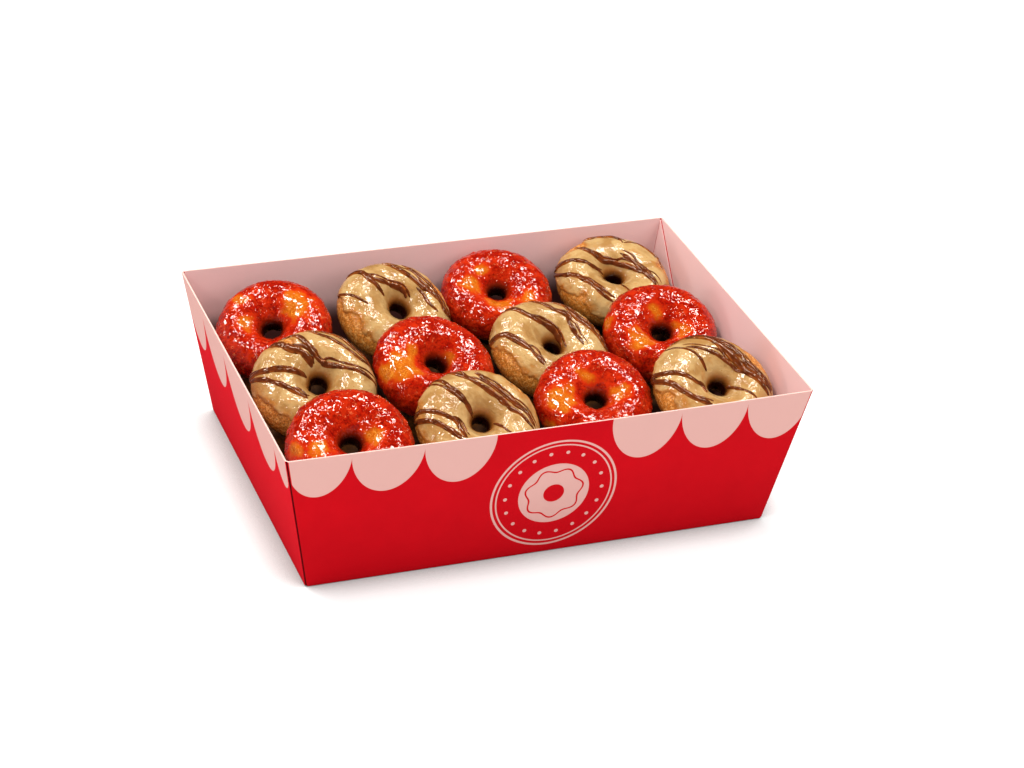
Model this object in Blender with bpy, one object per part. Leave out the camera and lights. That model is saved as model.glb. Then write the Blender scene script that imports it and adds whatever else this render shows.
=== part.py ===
"""An open carton tray packed with twelve small glazed ring doughnuts.

Run with: blender --background --python part.py, or from Blender's text editor.
Metres, +Z up. The origin is the middle of the tray's base, on the surface it stands on.
+X runs along the tray's long side, and -Y is its front.
"""

import math
from dataclasses import dataclass

import bmesh
import bpy
from mathutils import Euler, Vector

# ---------------------------------------------------------------- driving dimensions
MM = 0.001

TRAY_HEIGHT = 76 * MM
RIM_LENGTH = 260 * MM
RIM_WIDTH = 188 * MM
BASE_LENGTH = 232 * MM
BASE_WIDTH = 167 * MM
BOARD = 0.8 * MM  # thickness of the carton
FRONT_BOW = 1.2 * MM  # how far the front rim curves out at mid-length

SEAM = 1.0 * MM  # width and depth of the outside seam where two walls meet
INNER_FOLD = 1.2 * MM  # bevel of the fold inside each corner
FLAP_REACH = 36 * MM  # how far a glued corner flap runs along the end wall
FLAP_DROP = 28 * MM  # height that its slanted top edge loses over that run
FLAP_BOARD = 0.6 * MM  # how proud of the end wall it stands
OVERLAP = 0.3 * MM  # how far a flap reaches into what it is glued to

CLEARANCE = 0.5 * MM  # between pieces that touch

COLUMN_PITCH = 61 * MM
ROW_PITCH = 57 * MM
REST_HEIGHT = 39 * MM  # the level that the doughnuts lie on
DOUGHNUT_THICKNESS = 0.362  # of its diameter
HOLE_WIDTH = 0.184  # of its diameter
DENT = 0.03  # depth of the shallow hollows, of the section's radius

VALLEY_HEIGHT = 34 * MM  # the level of the layer below between its mounds
MOUND_TOP = 9 * MM  # radius of a mound's flat top
MOUND_FOOT = 26 * MM  # and of its foot

WALL_STEPS_LONG = 10
WALL_STEPS_SHORT = 4
WALL_LEVELS = 2
RING_STEPS = 24
SECTION_STEPS = 12
LAYER_STEPS = (24, 18)


@dataclass
class Doughnut:
    """One doughnut as it lies: sizes in millimetres, angles in degrees."""

    name: str
    coating: str
    diameter: float
    shift: tuple  # away from its place in the rows, along X and Y
    lean: float  # tipped towards the front
    roll: float  # tipped towards the right end
    hole: tuple  # how far the hole lies off centre, to the right and to the back
    lift: float = 0.0  # how far its neighbours hold it up


DOUGHNUTS = (
    Doughnut("doughnut_back_1", "jelly", 59.0, (-1.5, -2.0), 23, -17, (-1.0, -1.5)),
    Doughnut("doughnut_back_2", "caramel", 60.0, (-0.5, -1.5), 26, 6, (2.5, 0.0), 1.5),
    Doughnut("doughnut_back_3", "jelly", 58.0, (-3.5, 6.5), 20, -5, (0.0, -1.0), 3.0),
    Doughnut("doughnut_back_4", "caramel", 62.0, (-1.5, 4.0), 15, 0, (0.0, 0.0), 3.5),
    Doughnut("doughnut_middle_1", "caramel", 61.5, (1.0, -4.5), 27, -3, (2.5, -1.0)),
    Doughnut("doughnut_middle_2", "jelly", 62.5, (2.5, -1.0), 23, 8, (0.0, 0.5)),
    Doughnut("doughnut_middle_3", "caramel", 62.0, (3.0, 4.5), 20, 6, (1.0, -0.5)),
    Doughnut("doughnut_middle_4", "jelly", 59.0, (2.5, 6.5), 25, -6, (-0.5, -2.0)),
    Doughnut("doughnut_front_1", "jelly", 61.5, (2.5, -2.5), 25, -5, (0.0, -1.0)),
    Doughnut("doughnut_front_2", "caramel", 61.0, (4.5, 0.0), 26, -1, (1.5, -0.5)),
    Doughnut("doughnut_front_3", "jelly", 58.0, (6.5, 10.0), 24, -5, (0.0, -2.0)),
    Doughnut("doughnut_front_4", "caramel", 61.5, (3.0, -0.5), 23, 1, (1.5, -1.5), 4.0),
)

COLOURS = {
    "board": ((0.56, 0.012, 0.022, 1.0), 0.42),
    "jelly": ((0.42, 0.035, 0.012, 1.0), 0.16),
    "caramel": ((0.56, 0.33, 0.13, 1.0), 0.28),
    "dough": ((0.33, 0.15, 0.05, 1.0), 0.6),
}


# ---------------------------------------------------------------- helpers
def clear_scene():
    """Remove whatever the file holds."""
    for item in list(bpy.data.objects):
        bpy.data.objects.remove(item, do_unlink=True)
    for store in (bpy.data.meshes, bpy.data.materials):
        for item in list(store):
            store.remove(item)


def material(name):
    """One plain material per coating, made when it is first asked for."""
    found = bpy.data.materials.get(name)
    if found:
        return found
    colour, roughness = COLOURS[name]
    made = bpy.data.materials.new(name)
    made.use_nodes = True
    shader = made.node_tree.nodes["Principled BSDF"]
    shader.inputs["Base Color"].default_value = colour
    shader.inputs["Roughness"].default_value = roughness
    shader.inputs["Metallic"].default_value = 0.0
    made.diffuse_color = colour
    return made


def add_object(name, mesh, coating, location=(0, 0, 0), rotation=(0, 0, 0)):
    """Put a mesh in the scene as a named object with its own material."""
    item = bpy.data.objects.new(name, mesh)
    item.location = location
    item.rotation_euler = rotation
    mesh.materials.append(material(coating))
    bpy.context.collection.objects.link(item)
    return item


def bridge(bm, lower, upper):
    """Faces between two closed loops of equal length; lower runs anticlockwise from above."""
    count = len(lower)
    for i in range(count):
        k = (i + 1) % count
        bm.faces.new((lower[i], lower[k], upper[k], upper[i]))


def finish_mesh(bm, name):
    """Turn the faces outwards and hand back a mesh."""
    bmesh.ops.recalc_face_normals(bm, faces=bm.faces)
    mesh = bpy.data.meshes.new(name)
    bm.to_mesh(mesh)
    bm.free()
    return mesh


# ---------------------------------------------------------------- tray
def half_size(z, inset=0.0):
    """Half length and half width of the tray at height z, measured in from the outside."""
    part = z / TRAY_HEIGHT
    half_x = (BASE_LENGTH + (RIM_LENGTH - BASE_LENGTH) * part) / 2
    half_y = (BASE_WIDTH + (RIM_WIDTH - BASE_WIDTH) * part) / 2
    slope_x = math.hypot(1, (RIM_LENGTH - BASE_LENGTH) / 2 / TRAY_HEIGHT)
    slope_y = math.hypot(1, (RIM_WIDTH - BASE_WIDTH) / 2 / TRAY_HEIGHT)
    return half_x - inset * slope_x, half_y - inset * slope_y


def tray_loop(z, inset, corner):
    """Points of the wall's plan at height z, anticlockwise from the front left corner.

    corner gives the corner's three points, as distances in from it along each side.
    """
    half_x, half_y = half_size(z, inset)
    bow = FRONT_BOW * z / TRAY_HEIGHT
    (along, middle, out) = corner
    points = []
    for side in range(4):
        long_side = side % 2 == 0
        steps = WALL_STEPS_LONG if long_side else WALL_STEPS_SHORT
        half, away = (half_x, half_y) if long_side else (half_y, half_x)
        run = [(-half + middle, -away + middle)]
        for i in range(steps + 1):
            s = -half + along + 2 * (half - along) * i / steps
            bulge = bow * (1 - (s / (half - along)) ** 2) if side == 0 else 0.0
            run.append((s, -away + out - bulge))
        turn = side * math.pi / 2
        c, s = round(math.cos(turn)), round(math.sin(turn))
        points += [(c * x - s * y, s * x + c * y, z) for x, y in run]
    return points


def corner_flap(sign_x, sign_y):
    """The glued flap that the long wall sends round the corner onto the end wall.

    A prism with a five-sided outline in the end wall's plane: along the crease from the
    floor to just under the rim, down the slanted top edge, and down again to the floor.
    """
    top = TRAY_HEIGHT - 1.0 * MM
    floor = BOARD - OVERLAP
    outline = []
    for reach, z in (
        (-OVERLAP, floor),
        (FLAP_REACH, floor),
        (FLAP_REACH, top - FLAP_DROP),
        (1.0 * MM, top),
        (-OVERLAP, top),
    ):
        outline.append((reach, z))
    bm = bmesh.new()
    rings = []
    for depth in (BOARD - OVERLAP, BOARD + FLAP_BOARD):
        ring = []
        for reach, z in outline:
            half_x = half_size(z, depth)[0]
            half_y = half_size(z, BOARD)[1]
            ring.append(bm.verts.new((sign_x * half_x, sign_y * (half_y - reach), z)))
        rings.append(ring)
    bridge(bm, rings[0], rings[1])
    bm.faces.new(rings[0])
    bm.faces.new(rings[1])
    item = add_object("flap_cutter", finish_mesh(bm, "flap"), "board")
    item.hide_render = True
    item.display_type = "WIRE"
    return item


def build_tray():
    """One sheet of board folded into a tray: sloping walls, open top, glued corner flaps."""
    outer_corner = (SEAM, 0.75 * SEAM, 0.0)
    inner_corner = (INNER_FOLD, 0.3 * INNER_FOLD, 0.0)
    bm = bmesh.new()
    loops = []
    for level in range(WALL_LEVELS + 1):
        z = TRAY_HEIGHT * level / WALL_LEVELS
        loops.append([bm.verts.new(p) for p in tray_loop(z, 0.0, outer_corner)])
    for level in range(WALL_LEVELS, -1, -1):
        z = BOARD + (TRAY_HEIGHT - BOARD) * level / WALL_LEVELS
        loops.append([bm.verts.new(p) for p in tray_loop(z, BOARD, inner_corner)])
    for lower, upper in zip(loops, loops[1:]):
        bridge(bm, lower, upper)
    bm.faces.new(loops[0])
    bm.faces.new(loops[-1])
    tray = add_object("tray", finish_mesh(bm, "tray"), "board")
    for sign_x in (-1, 1):
        for sign_y in (-1, 1):
            joined = tray.modifiers.new("flap", "BOOLEAN")
            joined.operation = "UNION"
            joined.solver = "EXACT"
            joined.object = corner_flap(sign_x, sign_y)
    return tray


# ---------------------------------------------------------------- what fills it
def doughnut_point(doughnut, seed, i, j):
    """A point of the doughnut's surface in its own frame, top up, hole off centre.

    The ring's outer edge is a circle. The section is an ellipse that narrows where the
    hole comes closer, with shallow hollows that never stand out past it.
    """
    around = 2 * math.pi * i / RING_STEPS
    across = 2 * math.pi * j / SECTION_STEPS
    radius = doughnut.diameter / 2 * MM
    hole = HOLE_WIDTH * radius + MM * (
        doughnut.hole[0] * math.cos(around) + doughnut.hole[1] * math.sin(around)
    )
    half_width = (radius - hole) / 2
    half_height = DOUGHNUT_THICKNESS * radius
    hollow = DENT * (
        1
        + 0.5 * math.sin(2 * around + 1.9 * seed)
        + 0.3 * math.sin(3 * around + across + 2.7 * seed)
        + 0.2 * math.sin(4 * around - 2 * across + 0.8 * seed)
    )
    reach = half_width * (1 - hollow) * math.cos(across)
    height = half_height * (1 - hollow) * math.sin(across)
    spoke = radius - half_width + reach
    return Vector((spoke * math.cos(around), spoke * math.sin(around), height))


def build_doughnut(index, doughnut):
    """One ring doughnut, tipped over and set down at its level.

    Gives back its lowest point, which the layer below carries.
    """
    row, column = divmod(index, 4)
    bm = bmesh.new()
    grid = [
        [bm.verts.new(doughnut_point(doughnut, index + 1, i, j)) for j in range(SECTION_STEPS)]
        for i in range(RING_STEPS)
    ]
    for i in range(RING_STEPS):
        k = (i + 1) % RING_STEPS
        bridge(bm, grid[k], grid[i])
    mesh = finish_mesh(bm, doughnut.name)
    mesh.shade_smooth()
    tip = Euler((math.radians(doughnut.lean), math.radians(doughnut.roll), 0.0))
    turn = tip.to_matrix()
    lowest = min((turn @ v.co for v in mesh.vertices), key=lambda point: point.z)
    place = Vector(
        (
            (column - 1.5) * COLUMN_PITCH + doughnut.shift[0] * MM,
            (1 - row) * ROW_PITCH + doughnut.shift[1] * MM,
            REST_HEIGHT + doughnut.lift * MM - lowest.z,
        )
    )
    add_object(doughnut.name, mesh, doughnut.coating, place, tip)
    return place + lowest


def layer_top(x, y, mounds):
    """Height of the layer below: a round mound under every doughnut's lowest point."""
    height = VALLEY_HEIGHT
    for peak in mounds:
        away = math.hypot(x - peak.x, y - peak.y)
        fall = (away - MOUND_TOP) / (MOUND_FOOT - MOUND_TOP)
        fall = min(1.0, max(0.0, fall))
        rise = 1 - fall * fall * (3 - 2 * fall)
        height = max(height, VALLEY_HEIGHT + (peak.z - CLEARANCE - VALLEY_HEIGHT) * rise)
    return height


def build_layer_below(mounds):
    """The hidden food under the doughnuts, as one solid with a mounded top.

    It fills the tray from the floor up, follows the sloping walls, and clears the flaps.
    """
    steps_x, steps_y = LAYER_STEPS
    gap_x = BOARD + FLAP_BOARD + CLEARANCE
    gap_y = BOARD + CLEARANCE
    base = BOARD + CLEARANCE

    def place(i, j, z):
        half_x = half_size(z, gap_x)[0]
        half_y = half_size(z, gap_y)[1]
        return Vector((half_x * (2 * i / steps_x - 1), half_y * (2 * j / steps_y - 1), z))

    bm = bmesh.new()
    top = []
    for j in range(steps_y + 1):
        row = []
        for i in range(steps_x + 1):
            nominal = place(i, j, REST_HEIGHT)
            height = layer_top(nominal.x, nominal.y, mounds)
            row.append(bm.verts.new(place(i, j, height)))
        top.append(row)
    for j in range(steps_y):
        for i in range(steps_x):
            bm.faces.new((top[j][i], top[j][i + 1], top[j + 1][i + 1], top[j + 1][i]))
    edge = [(i, 0) for i in range(steps_x)]
    edge += [(steps_x, j) for j in range(steps_y)]
    edge += [(i, steps_y) for i in range(steps_x, 0, -1)]
    edge += [(0, j) for j in range(steps_y, 0, -1)]
    foot = [bm.verts.new(place(i, j, base)) for i, j in edge]
    bridge(bm, foot, [top[j][i] for i, j in edge])
    bm.faces.new(foot)
    return add_object("layer_below", finish_mesh(bm, "layer_below"), "dough")


# ---------------------------------------------------------------- all of it
clear_scene()
build_tray()
build_layer_below([build_doughnut(number, item) for number, item in enumerate(DOUGHNUTS)])
bpy.context.view_layer.update()
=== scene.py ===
"""An open carton tray of small glazed ring doughnuts: its looks, floor, lights and camera.

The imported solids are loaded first, and every piece takes its place from them. Each step is an
operator, listed in the Doughnuts panel of the 3D view's sidebar. Lengths are in metres, but
in millimetres where a comment or a docstring says so and within a material's expressions.
"""

import math
from dataclasses import dataclass
from functools import partialmethod

import bpy
import numpy as np
from mathutils import Matrix, Vector


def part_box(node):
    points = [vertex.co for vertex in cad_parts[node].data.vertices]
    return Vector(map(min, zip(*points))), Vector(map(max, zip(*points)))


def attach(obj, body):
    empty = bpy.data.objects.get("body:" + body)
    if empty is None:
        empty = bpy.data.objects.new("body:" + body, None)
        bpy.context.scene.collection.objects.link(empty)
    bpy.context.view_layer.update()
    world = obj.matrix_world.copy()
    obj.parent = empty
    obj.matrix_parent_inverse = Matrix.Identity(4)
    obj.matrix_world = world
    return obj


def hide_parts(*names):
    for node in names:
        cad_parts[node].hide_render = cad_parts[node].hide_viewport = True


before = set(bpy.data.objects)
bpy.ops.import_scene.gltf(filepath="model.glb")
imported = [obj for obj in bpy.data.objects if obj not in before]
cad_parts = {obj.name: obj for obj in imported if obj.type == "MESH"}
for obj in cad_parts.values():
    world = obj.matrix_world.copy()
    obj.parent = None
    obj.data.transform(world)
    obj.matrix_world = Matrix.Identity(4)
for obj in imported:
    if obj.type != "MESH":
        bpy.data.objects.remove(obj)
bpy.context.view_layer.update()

bl_info = {
    "name": "Box of ring doughnuts",
    "version": (1, 0, 0),
    "blender": (4, 5, 0),
    "location": "3D View > Sidebar > Doughnuts",
    "description": "Carton tray, glazed ring doughnuts and a plain studio around them",
    "category": "Object",
}

MM = 0.001
TAU = 2 * math.pi

# Where the glaze is thin and the golden dough glows through: angle round the ring, angle over
# its section (0 outer side, 90 top, 180 inner side), both in degrees, and radius in mm.
THIN_GLAZE = {
    "doughnut_back_1": ((0, 105, 7), (20, 100, 6), (165, 118, 4), (0, 62, 3), (117, 72, 3)),
    "doughnut_back_3": ((165, 108, 5), (115, 112, 3), (310, 88, 4), (255, 108, 6)),
    "doughnut_middle_2": ((190, 78, 8), (195, 35, 6), (15, 160, 5), (160, 108, 3)),
    "doughnut_middle_4": ((205, 96, 6), (335, 130, 4), (160, 22, 4), (95, 128, 3)),
    "doughnut_front_1": ((350, 132, 5), (190, 100, 5), (180, 40, 4)),
    "doughnut_front_3": ((182, 86, 8), (345, 128, 5), (105, 122, 4), (205, 14, 5)),
}

# Where the icing stops high up on the outer side and leaves the crust bare: angle round the
# ring, how far up its edge lies, and how wide the dip is, all in degrees.
HIGH_EDGE = {
    "doughnut_back_2": ((200, 46, 24), (235, 26, 20), (170, 22, 14), (20, 66, 30)),
    "doughnut_back_4": ((207, 40, 22), (0, 60, 26), (122, 72, 16)),
    "doughnut_middle_1": ((224, 46, 24), (190, 22, 20), (110, 66, 18)),
    "doughnut_middle_3": ((205, 42, 26), (240, 26, 20), (15, 54, 30)),
    "doughnut_front_2": ((160, 22, 18), (200, 18, 24), (30, 64, 34)),
    "doughnut_front_4": ((199, 46, 22), (25, 76, 42)),
}

# Lines of chocolate: a width in mm, then the angles that each runs through.
CHOCOLATE = {
    "doughnut_back_2": (
        (1.9, (95, 48), (75, 75), (45, 97), (25, 97), (10, 85), (-12, 62), (-16, 30)),
        (1.5, (72, 50), (60, 64), (43, 72), (24, 74), (7, 66), (-11, 50), (-14, 20)),
        (1.2, (37, 110), (15, 112), (-6, 104), (-20, 80)),
        (1.8, (133, 5), (130, 30), (127, 60), (132, 86), (131, 110), (135, 135)),
        (1.9, (127, 60), (125, 88), (105, 116), (83, 128), (56, 138), (38, 150)),
        (1.2, (160, 5), (163, 30), (166, 54), (173, 76), (184, 92)),
    ),
    "doughnut_middle_1": (
        (1.8, (85, 20), (70, 34), (52, 38), (26, 46), (14, 30), (8, 5)),
        (1.4, (80, 38), (68, 54), (50, 65), (22, 64), (10, 48), (4, 20)),
        (1.9, (111, 22), (95, 60), (84, 100), (70, 126), (50, 136), (20, 124), (0, 98), (-16, 20)),
        (2.8, (126, 30), (118, 56), (113, 85), (103, 100), (94, 118), (84, 145)),
        (2.2, (161, -10), (160, 48), (158, 85), (150, 120), (135, 155)),
        (2.0, (163, -5), (170, 50), (180, 80), (200, 105), (224, 114), (240, 112)),
    ),
    "doughnut_middle_3": (
        (1.6, (98, 30), (94, 56), (75, 88), (53, 94), (39, 110), (9, 120), (-21, 110)),
        (2.4, (80, 30), (55, 70), (35, 86), (8, 74), (-12, 44), (-16, 15)),
        (2.4, (132, -5), (127, 60), (122, 105), (103, 124), (63, 146), (28, 158), (-10, 165)),
        (1.8, (176, -10), (171, 45), (180, 70), (205, 95), (225, 92), (240, 80)),
        (1.3, (172, -5), (168, 40), (172, 65), (190, 90), (214, 100)),
    ),
    "doughnut_back_4": (
        (1.8, (105, 30), (100, 42), (85, 46), (73, 56), (60, 80)),
        (1.1, (59, 80), (43, 62), (13, 52), (-6, 50)),
        (2.2, (128, 60), (120, 116), (105, 136), (63, 144), (16, 136), (-16, 118), (-38, 72)),
        (1.7, (61, 114), (33, 120), (2, 118), (-28, 100), (-42, 70)),
        (1.8, (156, -10), (155, 44), (155, 76), (155, 100), (157, 122), (148, 160)),
        (1.9, (158, -5), (172, 38), (185, 72), (202, 84), (220, 82), (248, 60)),
        (1.2, (188, 86), (201, 93), (220, 91), (250, 70)),
        (1.1, (268, 140), (275, 96)),
    ),
    "doughnut_front_2": (
        (2.0, (105, 20), (95, 66), (80, 92), (50, 112), (22, 114), (2, 106), (-15, 80), (-27, 50)),
        (1.7, (80, 60), (67, 82), (43, 98), (22, 98), (5, 88), (-22, 48)),
        (1.6, (122, 10), (119, 56), (120, 90), (117, 126), (124, 166)),
        (1.3, (127, 20), (125, 65), (123, 112), (118, 140)),
        (2.0, (165, -15), (162, 28), (166, 70), (178, 104), (193, 116), (212, 112), (230, 104)),
        (1.8, (168, -5), (178, 60), (197, 86), (228, 92)),
        (1.0, (-21, 160), (-43, 120), (-46, 98)),
    ),
    "doughnut_front_4": (
        (2.6, (118, 20), (90, 48), (65, 88), (35, 108), (7, 110), (-20, 78), (-30, 50)),
        (1.6, (88, 50), (66, 66), (40, 90), (9, 90), (-11, 70), (-22, 40)),
        (1.2, (130, 25), (118, 80), (113, 114), (116, 140)),
        (1.6, (118, 70), (95, 96), (73, 110), (47, 122), (18, 124), (0, 112)),
        (2.0, (162, -10), (164, 42), (170, 92), (182, 114), (196, 132), (224, 128)),
        (2.0, (163, -5), (178, 54), (196, 74), (225, 88), (243, 88)),
        (1.4, (-14, 172), (-37, 130), (-46, 76)),
    ),
}


# ---------------------------------------------------------------- settings
def length_setting(name, description, default):
    """A length that the user can change."""
    return bpy.props.FloatProperty(
        name=name, description=description, default=default, unit="LENGTH"
    )


def angle_setting(name, description, degrees):
    """An angle that the user can change."""
    return bpy.props.FloatProperty(
        name=name, description=description, default=math.radians(degrees), subtype="ANGLE"
    )


def color_setting(name, description, default):
    """A colour that the user can change."""
    return bpy.props.FloatVectorProperty(
        name=name, description=description, default=default, subtype="COLOR"
    )


class CartonSettings(bpy.types.PropertyGroup):
    """Sizes and colours of the folded carton."""

    board: length_setting("Board", "Thickness of the board", 0.8 * MM)
    flap: length_setting("Flap", "How proud a corner flap stands", 0.55 * MM)
    bow: length_setting("Bow", "Outward curve of the front rim", 1.2 * MM)
    red: color_setting("Red", "Outside print", (0.52, 0.002, 0.007))
    pink: color_setting("Pink", "Scallops and badge", (0.67, 0.362, 0.328))
    lining: color_setting("Lining", "Inside print", (0.78, 0.50, 0.485))
    cut_edge: color_setting("Cut edge", "Bare board", (0.84, 0.56, 0.50))


class DoughnutSettings(bpy.types.PropertyGroup):
    """Colours of the glaze, the icing, the crust and the chocolate, and the mesh's fineness."""

    jelly: color_setting("Jelly", "Thick red glaze", (0.37, 0.006, 0.001))
    amber: color_setting("Amber", "Thin glaze", (0.54, 0.11, 0.004))
    icing: color_setting("Icing", "Caramel icing", (0.37, 0.19, 0.058))
    crust: color_setting("Crust", "Fried crust", (0.66, 0.225, 0.032))
    chocolate: color_setting("Chocolate", "Milk chocolate", (0.105, 0.021, 0.005))
    icing_depth: length_setting("Icing depth", "Thickness of the icing", 0.7 * MM)
    steps_around: bpy.props.IntProperty(
        name="Steps around", description="Faces round a ring", default=300
    )
    steps_across: bpy.props.IntProperty(
        name="Steps across", description="Faces round its section", default=144
    )


class StudioSettings(bpy.types.PropertyGroup):
    """The camera's place and lens."""

    azimuth: angle_setting("Azimuth", "Camera's turn to the left", -21.9)
    elevation: angle_setting("Elevation", "Camera's height angle", 29.8)
    roll: angle_setting("Roll", "Camera's tilt", 3.87)
    distance: length_setting("Distance", "Camera to the point it faces", 1.488)
    lens: bpy.props.FloatProperty(name="Lens", description="Focal length in mm", default=99.9)
    aim: bpy.props.FloatVectorProperty(
        name="Aim", description="The point faced, from the base's middle", subtype="TRANSLATION",
        default=(41.7 * MM, 70.3 * MM, 0.0),
    )


# ---------------------------------------------------------------- mesh helpers
def unit(vectors):
    """Vectors scaled to length one along the last axis."""
    return vectors / np.linalg.norm(vectors, axis=-1, keepdims=True)


def ease(values, low, high):
    """0 below low, 1 above high, and 3t2 - 2t3 between them."""
    t = np.clip((values - low) / (high - low), 0, 1)
    return t * t * (3 - 2 * t)


def scatter(spot, seed):
    """A fixed number from -1 to 1 for every whole-number place."""
    code = spot[..., 0] * 374761393 + spot[..., 1] * 668265263 + spot[..., 2] * 1440662683
    code = (code + seed * 362437) & 0xFFFFFFFF
    code = ((code ^ (code >> 13)) * 1274126177) & 0xFFFFFFFF
    return (code ^ (code >> 16)) / 2**31 - 1


def noise(points, size, seed):
    """Smooth noise from -1 to 1: scattered lattice values blended by 6t5 - 15t4 + 10t3."""
    place = points / size + 31.7 + 5.3 * seed
    cell = np.floor(place)
    part = place - cell
    blend = part**3 * (part * (part * 6 - 15) + 10)
    cell = cell.astype(np.int64)
    total = np.zeros(points.shape[:-1])
    for corner in np.ndindex(2, 2, 2):
        share = np.where(np.array(corner) == 1, blend, 1 - blend).prod(-1)
        total += scatter(cell + np.array(corner), seed) * share
    return total


def noises(points, seed, *kinds):
    """Smooth noise for each kind: a size in mm and what it adds to the seed."""
    return [noise(points, size * MM, seed + step) for size, step in kinds]


def shards(points, size, seed):
    """Flat tilted pieces this large, from -1 to 1.

    Each point belongs to the nearest of one scattered centre per lattice cell, and its value
    is its offset from that centre times a slope that the centre draws.
    """
    place = points / size + 11.3 + 7.1 * seed
    cell = np.floor(place).astype(np.int64)
    nearest = np.full(points.shape[:-1], 9.0)
    value = np.zeros(points.shape[:-1])
    for corner in np.ndindex(3, 3, 3):
        spot = cell + np.array(corner) - 1
        centre = spot + 0.5 + 0.4 * np.stack([scatter(spot, seed + k) for k in (1, 2, 3)], -1)
        offset = place - centre
        away = (offset**2).sum(-1)
        slope = np.stack([scatter(spot, seed + k) for k in (4, 5, 6)], -1)
        closer = away < nearest
        nearest = np.where(closer, away, nearest)
        value = np.where(closer, (offset * slope).sum(-1), value)
    return np.clip(value, -1, 1)


def grid_faces(rows, columns, wrap_rows, wrap_columns):
    """Quads between neighbouring points of a grid, with either direction closed up."""
    i = np.arange(rows if wrap_rows else rows - 1)[:, None]
    j = np.arange(columns if wrap_columns else columns - 1)[None, :]
    k, l = (i + 1) % rows, (j + 1) % columns
    corners = (i * columns + j, i * columns + l, k * columns + l, k * columns + j)
    return np.stack([np.broadcast_to(c, (i.size, j.size)) for c in corners], -1).reshape(-1, 4)


def fan(rim, middle):
    """Triangles from each point of a closed rim to the next and to the middle point."""
    return np.stack([rim, np.roll(rim, -1), np.full(len(rim), middle)], -1)


def capped_tube(rings):
    """Points, quads and cap triangles of a tube of closed rings.

    Each end is closed by a fan of triangles to a middle point, the mean of its last ring.
    """
    rows, columns = rings.shape[:2]
    quads = grid_faces(rows, columns, False, True)
    points = np.concatenate([rings.reshape(-1, 3), rings[:1].mean(1), rings[-1:].mean(1)])
    first, last = np.arange(columns), np.arange(columns) + (rows - 1) * columns
    first_cap, last_cap = fan(first[::-1], rows * columns), fan(last, rows * columns + 1)
    return points, quads, np.concatenate([first_cap, last_cap])


def capped_layers(rings, **layers):
    """A capped tube and its number layers, each with its mean at an end's middle point."""
    layers = {
        name: np.append(values.reshape(-1), (values[0].mean(), values[-1].mean()))
        for name, values in layers.items()
    }
    return *capped_tube(rings), layers


def solid_points(name):
    """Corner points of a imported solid."""
    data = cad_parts[name].data
    points = np.empty(len(data.vertices) * 3, np.float32)
    data.vertices.foreach_get("co", points)
    return points.reshape(-1, 3)


def put_in_scene(name, data):
    """A new object at the origin that shows this mesh, lamp or camera."""
    made = bpy.data.objects.new(name, data)
    bpy.context.scene.collection.objects.link(made)
    return made


def make_piece(name, points, quads, triangles=None, layers=None):
    """A mesh object at the origin from whole arrays, with a number per point in each layer."""
    triangles = np.zeros((0, 3), int) if triangles is None else triangles
    mesh = bpy.data.meshes.new(name)
    mesh.vertices.add(len(points))
    mesh.vertices.foreach_set("co", np.ascontiguousarray(points, np.float32).ravel())
    corners = np.concatenate([quads.ravel(), triangles.ravel()]).astype(np.int32)
    sizes = np.concatenate([np.full(len(quads), 4), np.full(len(triangles), 3)]).astype(np.int32)
    mesh.loops.add(len(corners))
    mesh.loops.foreach_set("vertex_index", corners)
    mesh.polygons.add(len(sizes))
    mesh.polygons.foreach_set("loop_start", np.cumsum(sizes, dtype=np.int32) - sizes)
    mesh.polygons.foreach_set("loop_total", sizes)
    for layer, values in (layers or {}).items():
        made = mesh.attributes.new(layer, "FLOAT", "POINT")
        made.data.foreach_set("value", np.ascontiguousarray(values, np.float32).ravel())
    mesh.update(calc_edges=True)
    if mesh.validate():
        raise RuntimeError(f"{name} has faces that don't hold together")
    mesh.shade_smooth()
    return put_in_scene(name, mesh)


def settle(piece, material, slot, *nodes):
    """Give a piece its material and its body, and hide the imported parts that it stands for. The
    slot is not used.
    """
    piece.data.materials.append(material)
    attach(piece, "root")
    if nodes:
        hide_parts(*nodes)


# ---------------------------------------------------------------- shader helpers
class Wire:
    """A shader socket that Python's arithmetic works on: each operation adds a Math node."""

    def __init__(self, sheet, socket):
        self.sheet, self.socket = sheet, socket

    def math(self, operation, *others):
        return self.sheet.node("Math", {"operation": operation}, dict(enumerate((self, *others))))

    def __rsub__(self, other):
        return self.sheet.node("Math", {"operation": "SUBTRACT"}, {0: other, 1: self})

    __add__ = __radd__ = partialmethod(math, "ADD")
    __sub__ = partialmethod(math, "SUBTRACT")
    __mul__ = __rmul__ = partialmethod(math, "MULTIPLY")
    __truediv__ = partialmethod(math, "DIVIDE")
    __abs__ = partialmethod(math, "ABSOLUTE")
    __gt__ = partialmethod(math, "GREATER_THAN")
    __lt__ = partialmethod(math, "LESS_THAN")
    larger = partialmethod(math, "MAXIMUM")
    smaller = partialmethod(math, "MINIMUM")

    def ramp(self, low, high, first=0.0, last=1.0):
        """Eased from first to last while this goes from low to high."""
        return self.sheet.node("MapRange", {"interpolation_type": "SMOOTHSTEP"}, {
            "Value": self, "From Min": low, "From Max": high, "To Min": first, "To Max": last,
        })


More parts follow.
